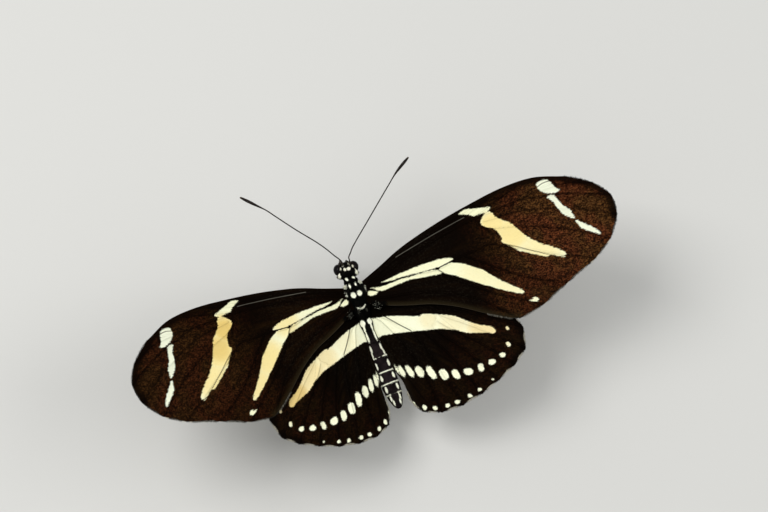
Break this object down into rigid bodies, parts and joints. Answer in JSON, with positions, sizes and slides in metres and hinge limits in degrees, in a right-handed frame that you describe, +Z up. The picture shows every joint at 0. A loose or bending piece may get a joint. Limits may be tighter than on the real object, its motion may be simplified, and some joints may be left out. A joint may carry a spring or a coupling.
{
  "type": "zebra longwing butterfly model",
  "caption": "Still, life-size butterfly with long black wings banded in pale yellow, wings spread in a low V, standing on its walking legs.",
  "frame": {"origin": "on the floor, in the middle of the box round the whole butterfly, about under the middle of the thorax", "axes": "+Z up, the head towards -Y, the animal's left side towards +X"},
  "size_m": [0.0838, 0.0444, 0.0276],
  "materials": {
    "body_scales": "soft black scales and short hair with cream spots and rings",
    "compound_eye": "glossy dark brown facets",
    "antenna_cuticle": "dull black ringed shafts with slim clubs",
    "tongue_cuticle": "dark brown ringed coil",
    "leg_cuticle": "brown-black scaled segments",
    "wing_scales": "matt brown-black scales with pale yellow bands and spots"
  },
  "bodies": {
    "root": {"head": "body_scales", "prothorax": "body_scales", "thorax": "body_scales", "abdomen": "body_scales", "palp_left": "body_scales", "palp_right": "body_scales", "eye_left": "compound_eye", "eye_right": "compound_eye", "antenna_left": "antenna_cuticle", "antenna_right": "antenna_cuticle", "proboscis": "tongue_cuticle", "foreleg_left": "leg_cuticle", "foreleg_right": "leg_cuticle", "midleg_left": "leg_cuticle", "midleg_right": "leg_cuticle", "hindleg_left": "leg_cuticle", "hindleg_right": "leg_cuticle", "forewing_left": "wing_scales", "forewing_right": "wing_scales", "hindwing_left": "wing_scales", "hindwing_right": "wing_scales"}
  },
  "joints": []
}
